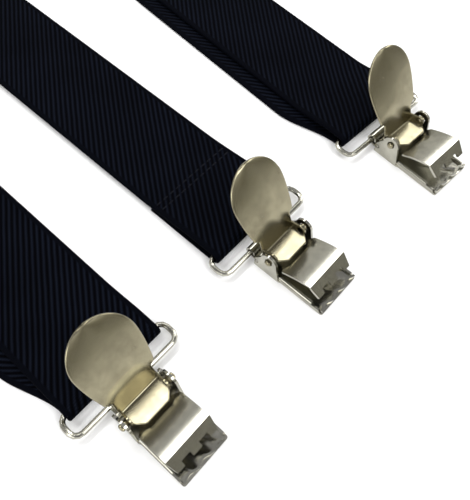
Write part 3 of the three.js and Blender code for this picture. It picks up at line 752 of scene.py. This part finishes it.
@dataclass
class Straps:
    """The back strap and the two front straps.

    Attributes:
        cloth: The straps' finish.
        sizes: The straps' sizes.
        behind_ring: Where a front strap's drop behind its ring starts and ends, from the ring.
        before_adjuster: Where its rise to the adjuster starts and ends, from the hem's end.
        behind_adjuster: Where its drop behind the adjuster starts and ends, from the frame's end.
        before_fold: Where its change of level starts and ends, from its fold.
        spare: Length of the route past the last fold, more than the strap needs.
        slant_run: Length over which sections turn to meet a fold.
        coarse: Spacing of the sections on the flat.
        fine: Their spacing round a ring or bar.
        finest: Their spacing in a fold.
        fining: Length over which the spacing changes.
        round_hem: How far before and after the end of the back hem's run they are fine, and then coarse again.
        round_bar: Middle of the turn round the adjuster's bar, past the front hem's run, and half its length.
        round_ring: The same for the turn round the ring, past the lower run.
        round_fold: Half the length of a fold.
        slip: How far the lower run has slipped aside.
        slip_rise: Where the slip starts, and the length that it grows over.
        slip_fall: Where it ends before the ring, and the length that it fades over.
    """

    cloth: bpy.types.Material
    sizes: StrapSizes = field(default_factory=StrapSizes)
    behind_ring: tuple[float, float] = (4 * MM, 24 * MM)
    before_adjuster: tuple[float, float] = (23 * MM, 3 * MM)
    behind_adjuster: tuple[float, float] = (4 * MM, 26 * MM)
    before_fold: tuple[float, float] = (70 * MM, 26 * MM)
    spare: float = 400 * MM
    slant_run: float = 60 * MM
    coarse: float = 2.5 * MM
    fine: float = 0.35 * MM
    finest: float = 0.2 * MM
    fining: float = 6 * MM
    round_hem: tuple[float, float, float] = (3 * MM, 10 * MM, 20 * MM)
    round_bar: tuple[float, float] = (3 * MM, 5 * MM)
    round_ring: tuple[float, float] = (9 * MM, 8 * MM)
    round_fold: float = 3 * MM
    slip: float = 6 * MM
    slip_rise: tuple[float, float] = (12 * MM, 120 * MM)
    slip_fall: tuple[float, float] = (1 * MM, 26 * MM)

    def ring_place(self, side: str) -> tuple[np.ndarray, float]:
        """Find a unit's ring from its hinge.

        Args:
            side: The unit's name.

        Returns:
            Where the ring's wire lies in its strap, and the angle that the unit is turned by.
        """
        joint = next(j for j in frame["joints"] if j["name"] == f"{side}_ring_swing")
        axis = joint["axis"]
        return np.array(joint["pos_m"][:2]), math.atan2(axis[0], -axis[1])

    def back(self) -> bpy.types.Object:
        """The back strap: a sewn hem under it, a loop round the ring and a flat run to the patch.

        Returns:
            The strap's object.
        """
        z = self.sizes
        home, turn = self.ring_place("back")
        end = -z.back_run + z.width / 2 * math.sin(z.spread) + z.patch_meeting
        line = np.concatenate([
            [[-z.back_hem, z.wire_height - z.loop]],
            arc(0, z.wire_height, z.loop, -90, 90),
            ramp(-z.drop_start, z.top, -z.back_hem - z.back_drop, z.low),
            [[end, z.low]],
        ])
        route = Route(line)
        before, after, beyond = self.round_hem
        marks = [(0, self.coarse), (z.back_hem - before, self.fine), (z.back_hem + after, self.fine),
                 (z.back_hem + beyond, self.coarse), (route.length[-1], self.coarse)]
        strap = Strap("woven_back_strap", route, spaced(marks, self.coarse), home, turn)
        piece = strap.build()
        dress(piece, self.cloth, "straps")
        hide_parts("back_strap")
        return piece

    def front(self, side: str, sign: int, over: bool) -> bpy.types.Object:
        """A front strap: hem on the adjuster's bar, return run, ring, adjuster, two slanted folds, patch.

        Args:
            side: The unit's name, left or right.
            sign: Which side of the middle line the strap lies on, +1 for the wearer's right.
            over: Whether the strap's cross run lies over its long run, or under it.

        Returns:
            The strap's object.
        """
        z = self.sizes
        ring, turn = self.ring_place(side)
        level = z.low if over else z.low + z.layer
        bar, adjuster = -z.adjuster_distance, z.through_adjuster
        hem, frame_end = bar + z.front_hem, bar - z.frame_length
        line = np.concatenate([
            [[hem, z.bar_height + z.bar_loop]],
            arc(bar, z.bar_height, z.bar_loop, 90, 270),
            arc(0, z.wire_height, z.loop, -90, 90),
            ramp(-self.behind_ring[0], z.top, -self.behind_ring[1], z.low),
            ramp(hem + self.before_adjuster[0], z.low, hem + self.before_adjuster[1], adjuster),
            ramp(frame_end - self.behind_adjuster[0], adjuster, frame_end - self.behind_adjuster[1], z.low),
            ramp(-z.front_run + self.before_fold[0], z.low, -z.front_run + self.before_fold[1], level),
            [[-z.front_run - self.spare, level]],
        ])
        route = Route(line)
        heading = np.array([math.cos(turn), math.sin(turn)])
        sideways = np.array([-heading[1], heading[0]])
        second = ring - heading * z.front_run
        patch_end = np.array([-z.back_run + self.ring_place("back")[0][0], sign * z.patch_offset])
        spread = sign * (math.pi - z.spread)
        from_patch = np.array([math.cos(spread), math.sin(spread)])
        first = patch_end + from_patch * z.patch_run
        cross = float(np.linalg.norm(second - first))
        to_first = (first - second) / cross
        at_second = float(route.length[-1] - self.spare)
        at_first = at_second + cross

        up = 1.0 if over else -1.0
        near = self.crease(second, -heading, to_first, up)
        bisector = to_first - from_patch
        bisector /= np.linalg.norm(bisector)
        unfolded = 2 * (near.along @ bisector) * near.along - bisector
        far = self.crease_along(second - heading * cross, unfolded, -heading, up)
        slant = [float((c.along @ -heading) / (c.along @ sideways)) for c in (near, far)]

        end = at_first + z.patch_run
        at_bar = z.front_hem + self.round_bar[0]
        at_ring = z.front_hem + z.adjuster_distance + self.round_ring[0]
        turns = ((at_bar, self.round_bar[1], self.fine), (at_ring, self.round_ring[1], self.fine),
                 (at_second, self.round_fold, self.finest), (at_first, self.round_fold, self.finest))
        marks = [(0, self.coarse)]
        for spot, half, fine in turns:
            marks += [(spot - half - self.fining, self.coarse), (spot - half, fine), (spot + half, fine),
                      (spot + half + self.fining, self.coarse)]
        marks.append((end, self.coarse))
        stations = spaced(marks, self.coarse)
        slants = [at_second - self.slant_run, at_second, at_first, at_first + self.slant_run]
        skew = np.interp(stations, slants, [0, slant[0], slant[1], 0])
        turned = z.front_hem + math.pi * z.bar_loop
        drift = self.sideslip(stations, turned, turned + z.adjuster_distance)
        strap = Strap(f"woven_{side}_front_strap", route, stations, ring, turn, level, [far, near], skew, drift)
        piece = strap.build()
        dress(piece, self.cloth, "straps")
        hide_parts(f"{side}_front_strap")
        return piece

    def sideslip(self, stations: np.ndarray, start: float, end: float) -> np.ndarray:
        """How far the lower run has slipped aside: nothing at its ends, rising and falling as smooth steps.

        Args:
            stations: Lengths along the strap.
            start: Where the lower run leaves the adjuster's bar.
            end: Where it reaches the ring.

        Returns:
            The slip at each station, towards the wearer's left.
        """
        rise = smooth((stations - start - self.slip_rise[0]) / self.slip_rise[1])
        fall = smooth((end - self.slip_fall[0] - stations) / self.slip_fall[1])
        return -self.slip * rise * fall

    def crease(self, point: np.ndarray, before: np.ndarray, after: np.ndarray, up: float) -> Crease:
        """The fold that turns a strap from one heading to another: its line halves the angle between them."""
        along = before + after
        return self.crease_along(point, along / np.linalg.norm(along), before, up)

    def crease_along(self, point: np.ndarray, along: np.ndarray, before: np.ndarray, up: float) -> Crease:
        """Make a fold with a known line.

        Args:
            point: A point of the fold line.
            along: The line's heading.
            before: The strap's heading as it reaches the line.
            up: 1 to fold upwards, -1 to fold under.

        Returns:
            The fold, whose far side is the one that the strap is heading for.
        """
        beyond = np.array([-along[1], along[0]])
        beyond = beyond if beyond @ before > 0 else -beyond
        return Crease(point, along, beyond, self.sizes.layer / 2, up)

    def build(self) -> None:
        """Make the three straps."""
        self.back()
        self.front("right", 1, True)
        self.front("left", -1, False)


# ---------------------------------------------------------------- metal parts


def softened(node: str, name: str, material: bpy.types.Material, edge: float) -> bpy.types.Object:
    """A pressed part with its burr rolled off: the node's own skin, joined up, with every sharp edge rounded.

    Args:
        node: The node whose shape is right.
        name: The new piece's name.
        material: Its finish.
        edge: Width of the rounded edge, in metres.

    Returns:
        The new piece, which stands for the node.
    """
    mesh = frame["nodes"][node].data.copy()
    mesh.name = name
    work = bmesh.new()
    work.from_mesh(mesh)
    bmesh.ops.remove_doubles(work, verts=work.verts, dist=WELD)
    bmesh.ops.dissolve_limit(work, angle_limit=math.radians(2), verts=work.verts, edges=work.edges)
    work.to_mesh(mesh)
    work.free()
    piece = placed(name, mesh)
    round_edges(piece, edge, SHARP_ANGLE, True)
    body = next(b for b, nodes in frame["record"]["behaviour"]["bodies"].items() if node in nodes)
    dress(piece, material, body)
    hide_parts(node)
    return piece


@dataclass
class Lever:
    """A clip's flip lever: one bent sheet for tongue and paddle, a web and a rivet at each side.

    Its shape is worked out in the clip's side view, from the pivot, in metres and degrees. The bend across the
    paddle lies bend_side past the fold at the sheet's sides and bend_arch further in its middle.
    """

    side: str
    finish: bpy.types.Material
    plate: float = 0.8 * MM
    cam: float = 4.6 * MM
    cam_angle: float = 210
    tongue_angle: float = 12
    paddle_angle: float = 112
    bend: float = 11
    bend_side: float = 2.2 * MM
    bend_arch: float = 4.2 * MM
    bend_run: float = 7 * MM
    curl: float = 3
    curl_start: float = 14 * MM
    curl_run: float = 18 * MM
    tongue: float = 8.4 * MM
    chamfer: float = 3.2 * MM
    half: float = 7.8 * MM
    neck: float = 5.9 * MM
    shoulder: float = 1.5 * MM
    root_half: float = 9.7 * MM
    paddle_half: float = 11.3 * MM
    round_start: float = 20.5 * MM
    length: float = 32.5 * MM
    fold_radius: float = 1.0 * MM
    web: float = 2 * MM
    web_foot: float = 1 * MM
    web_edge: float = 0.12 * MM
    web_edge_angle: float = 30
    rivet: float = 1.2 * MM
    rivet_reach: float = 10.9 * MM
    dome: float = 0.6 * MM
    hair: float = 0.02 * MM
    rows: tuple[int, int, int, int] = (26, 12, 60, 30)
    edge_points: int = 6
    round_points: int = 28

    def __post_init__(self) -> None:
        """Find the pivot and how far the clip is turned, from its joint."""
        joint = next(j for j in frame["joints"] if j["name"] == f"{self.side}_lever_flip")
        self.pivot = np.array(joint["pos_m"])
        self.turn = math.atan2(joint["axis"][0], -joint["axis"][1])

    def to_world(self, points: np.ndarray) -> np.ndarray:
        """Turn points of the clip's own frame, from its pivot, and move them to their place.

        Args:
            points: Points with a last axis of 3.

        Returns:
            The points in the object's frame.
        """
        cos, sin = math.cos(self.turn), math.sin(self.turn)
        x, y, z = points[..., 0], points[..., 1], points[..., 2]
        return np.stack([x * cos - y * sin, x * sin + y * cos, z], -1) + self.pivot

    def add(self, name: str, points: np.ndarray, edge: float = 0.0) -> None:
        """Make one piece of the lever.

        Args:
            name: The piece's name, without its side.
            points: Its rings, in the clip's own frame.
            edge: Width of its rounded edges, or 0 for none.
        """
        piece = grid_piece(f"{self.side}_{name}", self.to_world(points))
        if edge:
            round_edges(piece, edge, math.radians(self.web_edge_angle), False)
        dress(piece, self.finish, f"{self.side}_clip_lever")
        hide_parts(f"{self.side}_clip_lever")

    def fold_point(self) -> np.ndarray:
        """The sharp corner between the tongue's and the paddle's lower faces."""
        return self.cam * way(self.cam_angle)

    def half_width(self, s: np.ndarray) -> np.ndarray:
        """Half the sheet's width.

        The tongue is chamfered, the neck is straight, a smooth step widens the root, a quarter of a sine wave
        widens the paddle, and its end is half an ellipse.

        Args:
            s: Lengths past the fold. The tongue has negative ones.

        Returns:
            Half the width at each length.
        """
        tip = np.clip((s + self.tongue) / self.chamfer, 0, 1)
        swell = np.clip((s - self.neck - self.shoulder) / (self.round_start - self.neck - self.shoulder), 0, 1)
        end = np.clip((s - self.round_start) / (self.length - self.round_start), 0, 1)
        wide = self.half + (self.root_half - self.half) * smooth((s - self.neck) / self.shoulder)
        wide += (self.paddle_half - self.root_half) * np.sin(np.pi / 2 * swell)
        return (wide - self.chamfer * (1 - tip)) * np.sqrt(1 - end**2)

    def sheet(self, around: int = 44) -> np.ndarray:
        """Work out the bent sheet.

        The heading runs down the tongue, turns through the fold, and leans further back beyond an arched bend
        line; places are its running sum, and the section is a flat with half-round edges.

        Args:
            around: Points across each face of the sheet.

        Returns:
            The sheet's rings.
        """
        down, up = self.tongue_angle + 180.0, self.paddle_angle
        arc_length = self.fold_radius * math.radians(down - up)
        tangent = self.fold_radius * math.tan(math.radians(down - up) / 2)
        tongue_rows, fold_rows, body_rows, end_rows = self.rows
        straight = np.linspace(-self.tongue + self.hair, -tangent, tongue_rows)
        fold = np.linspace(-tangent, -tangent + arc_length, fold_rows)
        body = np.linspace(fold[-1], self.round_start, body_rows)
        close = np.sin(np.linspace(0, math.pi / 2 - 0.03, end_rows))
        rounded = self.round_start + (self.length - self.round_start) * close
        s = np.concatenate([straight, fold[1:], body[1:], rounded[1:]])

        r = self.plate / 2
        flat = np.linspace(-1, 1, around)
        edge = np.linspace(math.pi / 2, -math.pi / 2, self.edge_points + 2)[1:-1]
        side = np.ones_like(edge)
        share = np.concatenate([flat, side, flat[::-1], -side])
        beyond = np.concatenate([flat * 0, r * np.cos(edge), flat * 0, -r * np.cos(edge)])
        rise = np.concatenate([flat * 0 + r, r * np.sin(edge), flat * 0 - r, -r * np.sin(edge)])
        half = np.maximum(self.half_width(s) - r, self.hair)
        across = half[:, None] * share + beyond
        v = across / self.paddle_half

        turned = np.clip((s - fold[0]) / arc_length, 0, 1)[:, None]
        lean = smooth((s[:, None] - self.bend_side - self.bend_arch * (1 - v**2)) / self.bend_run)
        curve = np.clip((s[:, None] - self.curl_start) / self.curl_run, 0, 1)
        heading = np.radians(down - (down - up) * turned + self.bend * lean + self.curl * curve)
        step = np.diff(s)[:, None]
        middle = (heading[1:] + heading[:-1]) / 2
        still = np.zeros((1, v.shape[1]))
        x = np.concatenate([still, np.cumsum(np.cos(middle) * step, 0)])
        z = np.concatenate([still, np.cumsum(np.sin(middle) * step, 0)])
        tongue_way, paddle_way = way(self.tongue_angle), way(self.paddle_angle)
        raised = r * np.array([-tongue_way[1], tongue_way[0]])
        ahead = r * np.array([paddle_way[1], -paddle_way[0]])
        reach = np.linalg.solve(np.stack([tongue_way, -paddle_way], -1), ahead - raised)
        start = self.fold_point() + raised + (reach[0] + self.tongue) * tongue_way
        px = start[0] + x - np.sin(heading) * rise
        pz = start[1] + z + np.cos(heading) * rise
        return np.stack([px, across, pz], -1)

    def webs(self) -> None:
        """A side web is the triangle between tongue, paddle and pivot, round at the pivot, one plate thick."""
        fold = self.fold_point()
        on_tongue = fold + (self.tongue - self.chamfer) * way(self.tongue_angle)
        on_paddle = fold + (self.web + self.web_foot) * way(self.paddle_angle)
        angle = np.linspace(0, 0.75 * math.pi, 12)
        hub = self.web * np.stack([np.cos(angle), np.sin(angle)], -1)
        outline = np.concatenate([[fold, on_tongue], hub, [on_paddle]])
        for name, side in (("left_web", -1), ("right_web", 1)):
            level = side * np.array([self.half - self.plate, self.half - self.hair])
            rings = [np.stack([outline[:, 0], np.full(len(outline), y), outline[:, 1]], -1) for y in level]
            self.add(name, np.array(rings), self.web_edge)

    def rivets(self) -> None:
        """A rivet is a profile turned about the pivot: a straight shank with a domed head."""
        inside, head = self.half - self.plate, self.rivet_reach - self.dome
        rise = np.linspace(0, math.pi / 2 - 0.05, 7)
        radius = self.rivet * np.concatenate([[0.05, 1, 1], np.cos(rise)])[:, None]
        place = np.concatenate([[inside, inside, head], head + self.dome * np.sin(rise)])[:, None]
        angle = np.linspace(0, 2 * math.pi, self.round_points, endpoint=False)
        for name, side in (("left_rivet", -1), ("right_rivet", 1)):
            level = np.broadcast_to(side * place, (len(place), len(angle)))
            self.add(name, np.stack([radius * np.cos(angle), level, radius * np.sin(angle)], -1))

    def build(self) -> None:
        """Make the sheet, the webs and the rivets."""
        self.add("bent_lever", self.sheet())
        self.webs()
        self.rivets()


@dataclass
class Seams:
    """Rows of lockstitch: each stitch is a short bead of thread, thick in the middle and sunk at its ends."""

    thread: bpy.types.Material
    stitch: float = 2.7 * MM
    space: float = 0.5 * MM
    half_thread: float = 0.28 * MM
    around: int = 8
    rings: int = 7
    sunk: float = 0.6
    patch_insets: tuple[float, float] = (2.6 * MM, 5.0 * MM)
    patch_narrow: float = 22 * MM
    patch_slopes: tuple[float, float] = (1.2, 1.1)
    patch_cut: float = 4.2 * MM
    over_leather: float = 0.02 * MM
    hem_insets: tuple[float, float] = (1.6 * MM, 4.4 * MM)
    hem_edge: float = 1.2 * MM

    def row(self, start: np.ndarray, end: np.ndarray) -> np.ndarray:
        """Stitches from one point to another.

        A ring's radius follows the root of half a sine wave along its stitch, and its middle sinks at both ends.

        Args:
            start: The row's first end.
            end: Its other end.

        Returns:
            An array of stitch, ring, point and axis.
        """
        run = end - start
        length = float(np.linalg.norm(run))
        way = run / length
        aside = np.cross([0, 0, 1.0], way)
        aside /= np.linalg.norm(aside)
        above = np.cross(way, aside)
        count = max(int(length / (self.stitch + self.space)), 1)
        first = (np.arange(count) + 0.5) * length / count - self.stitch / 2
        t = np.linspace(0.04, 0.96, self.rings)
        angle = np.linspace(0, 2 * math.pi, self.around, endpoint=False)
        radius = self.half_thread * np.sin(math.pi * t) ** 0.5
        along = first[:, None] + self.stitch * t
        lift = self.half_thread * (np.sin(math.pi * t) - self.sunk)
        places = start + along[..., None] * way + lift[None, :, None] * above
        circle = np.cos(angle)[:, None] * aside + np.sin(angle)[:, None] * above
        return places[:, :, None, :] + radius[None, :, None, None] * circle

    def sew(self, name: str, rows: list[tuple[np.ndarray, np.ndarray]], body: str) -> None:
        """Make one piece of all the stitches of some rows.

        Args:
            name: The piece's name.
            rows: Each row's two ends.
            body: The body it rides on.
        """
        stitches = np.concatenate([self.row(np.array(a), np.array(b)) for a, b in rows])
        count, rings, around = stitches.shape[:3]
        first = np.arange(count) * rings * around
        sides = (ring_quads(rings, around)[None] + first[:, None, None]).reshape(-1, 4).tolist()
        low = (np.arange(around)[::-1][None] + first[:, None]).tolist()
        high = (np.arange(around)[None] + (rings - 1) * around + first[:, None]).tolist()
        mesh = bpy.data.meshes.new(name)
        mesh.from_pydata(stitches.reshape(-1, 3).tolist(), [], sides + low + high)
        mesh.polygons.foreach_set("use_smooth", np.ones(len(mesh.polygons), bool))
        work = bmesh.new()
        work.from_mesh(mesh)
        bmesh.ops.recalc_face_normals(work, faces=work.faces)
        work.to_mesh(mesh)
        work.free()
        dress(placed(name, mesh), self.thread, body)

    def patch(self) -> None:
        """A row of stitches inside the leather patch's edge, and a second one inside it."""
        low, high = (np.array(corner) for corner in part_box("patch_outer"))
        wide, cut = (high[1] - low[1]) / 2, self.patch_cut
        z = high[2] + self.over_leather
        rows = []
        for inset in self.patch_insets:
            x0, x1 = low[0] + inset, high[0] - inset
            y0, y1 = wide - self.patch_slopes[0] * inset, self.patch_narrow - self.patch_slopes[1] * inset
            slope = (y1 - y0) / (x1 - x0)
            for side in (-1, 1):
                rows.append(((x0 + cut, side * (y0 + slope * cut), z), (x1 - cut, side * (y1 - slope * cut), z)))
            rows.append(((x0, cut - y0, z), (x0, y0 - cut, z)))
            rows.append(((x1, cut - y1, z), (x1, y1 - cut, z)))
        self.sew("patch_stitches", rows, "straps")

    def hem(self, sizes: StrapSizes, ring: np.ndarray) -> None:
        """Two rows across the back strap where its hem ends, on top, at the height of the strap's easy drop.

        Args:
            sizes: The straps' sizes.
            ring: Where the back ring's wire lies.
        """
        rows = []
        start, stop = -sizes.drop_start, -sizes.back_hem - sizes.back_drop
        half = sizes.width / 2 - self.hem_edge
        for inset in self.hem_insets:
            x = -sizes.back_hem + inset
            s = (x - start) / (stop - start)
            z = sizes.top + (sizes.low - sizes.top) * (1 - math.cos(math.pi * s)) / 2 + sizes.thickness / 2
            rows.append(((ring[0] + x, ring[1] - half, z), (ring[0] + x, ring[1] + half, z)))
        self.sew("back_hem_stitches", rows, "straps")


@dataclass
class Clip:
    """One flip-lever clip with its ring."""

    side: str
    nickel: bpy.types.Material
    satin: bpy.types.Material
    edge: float = 0.16 * MM
    jaw_edge: float = 0.3 * MM

    def build(self) -> None:
        """Make the base, jaw, lever and ring."""
        softened(f"{self.side}_clip_base", f"{self.side}_pressed_base", self.nickel, self.edge)
        softened(f"{self.side}_clip_jaw", f"{self.side}_pressed_jaw", self.nickel, self.jaw_edge)
        Lever(self.side, self.satin).build()
        softened(f"{self.side}_ring", f"{self.side}_wire_ring", self.nickel, self.edge)


@dataclass
class Adjuster:
    """One strap adjuster: its frame and its clamp."""

    side: str
    nickel: bpy.types.Material
    edge: float = 0.25 * MM

    def build(self) -> None:
        """Make the frame and the clamp."""
        for part in ("frame", "clamp"):
            softened(f"{self.side}_adjuster_{part}", f"{self.side}_slide_{part}", self.nickel, self.edge)


@dataclass
class Patch:
    """The leather patch that the three straps are sewn into."""

    leather: bpy.types.Material
    edge: float = 0.5 * MM

    def build(self) -> None:
        """Make the outer and the inner layer."""
        for layer in ("outer", "inner"):
            softened(f"patch_{layer}", f"leather_{layer}", self.leather, self.edge)


# ---------------------------------------------------------------- studio


@dataclass(frozen=True)
class SoftLamp:
    """A rectangular soft light: its place, its two sides, its power in watts and the point it is aimed at."""

    name: str
    place: tuple[float, float, float]
    size: tuple[float, float]
    power: float
    aim: tuple[float, float, float] = (0.0, 0.0, 0.0)

    def build(self) -> None:
        """Hang the light, its first side level."""
        data = bpy.data.lights.new(self.name, "AREA")
        data.shape = "RECTANGLE"
        data.size, data.size_y = self.size
        data.energy = self.power
        turn = (Vector(self.aim) - Vector(self.place)).to_track_quat("-Z", "Y").to_matrix().to_4x4()
        placed(self.name, data).matrix_world = Matrix.Translation(self.place) @ turn


@dataclass(frozen=True)
class Studio:
    """Table, lights and camera.

    The sky is a list of tones by height, from the horizon at 0 to straight up at 1: the two ends, then the rest.
    """

    camera_at: tuple[float, float, float] = (0.04361, -0.08248, 0.17643)
    aim_at: tuple[float, float, float] = (-0.01392, -0.01033, 0.0)
    roll: float = -3.516
    lens: float = 41.09
    sensor: float = 36.0
    nearest: float = 0.01
    half_table: float = 3.0
    under: float = 0.05 * MM
    sky_strength: float = 1.15
    sky_bands: tuple[tuple[float, str], ...] = (
        (0.0, "#77756c"), (1.0, "#aaaaae"),
        (0.2, "#8f8d84"), (0.32, "#c9c8c2"), (0.6, "#c9c8c6"), (0.76, "#77777a"), (0.92, "#9a9a9e"),
    )
    lamps: tuple[SoftLamp, ...] = (
        SoftLamp("back_strip", (-0.69, 0.5, 1.1), (1.8, 0.26), 12.0, (0.0, 0.5, 0.0)),
        SoftLamp("front_softbox", (0.95, 0.1, 1.3), (0.8, 0.8), 11.0),
        SoftLamp("side_softbox", (0.1, -1.3, 0.75), (0.8, 0.8), 11.0),
        SoftLamp("far_softbox", (0.2, 1.6, 1.0), (0.9, 0.9), 11.0),
    )

    def camera(self) -> None:
        """Place the camera above and in front of the clips, looking back along the straps."""
        data = bpy.data.cameras.new("camera")
        data.sensor_fit = "AUTO"
        data.sensor_width = self.sensor
        data.lens = self.lens
        data.clip_start = self.nearest
        view = (Vector(self.aim_at) - Vector(self.camera_at)).to_track_quat("-Z", "Y").to_matrix().to_4x4()
        camera = placed("camera", data)
        roll = Matrix.Rotation(math.radians(-self.roll), 4, "Z")
        camera.matrix_world = Matrix.Translation(self.camera_at) @ (view @ roll)
        bpy.context.scene.camera = camera

    def table(self) -> None:
        """A wide flat top just under the object."""
        mesh = bpy.data.meshes.new("table_top")
        half, z = self.half_table, -self.under
        corners = [(-half, -half, z), (half, -half, z), (half, half, z), (-half, half, z)]
        mesh.from_pydata(corners, [], [(0, 1, 2, 3)])
        mesh.materials.append(PaleTable().build())
        placed("table_top", mesh)

    def sky(self) -> None:
        """A room that is dim at table level and overhead, and lighter in between, as in a light tent."""
        world = bpy.data.worlds.new("tent")
        world.use_nodes = True
        tree = world.node_tree
        place = add_node(tree, "ShaderNodeTexCoord")
        split = add_node(tree, "ShaderNodeSeparateXYZ", {0: place.outputs["Generated"]})
        tones = add_node(tree, "ShaderNodeValToRGB", {0: split.outputs[2]})
        bands = tones.color_ramp.elements
        (low, floor), (high, zenith), *between = self.sky_bands
        bands[0].position, bands[0].color = low, linear(floor)
        bands[1].position, bands[1].color = high, linear(zenith)
        for height, tone in between:
            bands.new(height).color = linear(tone)
        background = tree.nodes["Background"]
        tree.links.new(tones.outputs[0], background.inputs[0])
        background.inputs[1].default_value = self.sky_strength
        bpy.context.scene.world = world

    def build(self) -> None:
        """Make the whole studio."""
        self.sky()
        bpy.context.scene.view_settings.view_transform = "Standard"
        self.table()
        for lamp in self.lamps:
            lamp.build()
        self.camera()


def main() -> None:
    """Build the suspenders and the studio."""
    logging.basicConfig(level=logging.INFO, format="%(name)s %(message)s")
    Studio().build()
    nickel = NickelPlate("nickel_plate", "#b4b2a6", "#9b998e", 0.17).build()
    satin = NickelPlate("satin_nickel_plate", "#979179", "#87816c", 0.23).build()
    straps = Straps(TwillElastic().build())
    straps.build()
    seams = Seams(SewingThread().build())
    seams.patch()
    seams.hem(straps.sizes, straps.ring_place("back")[0])
    for side in ("left", "back", "right"):
        Clip(side, nickel, satin).build()
    for side in ("left", "right"):
        Adjuster(side, nickel).build()
    Patch(GrainedLeather().build()).build()


if __name__ == "__main__":
    main()
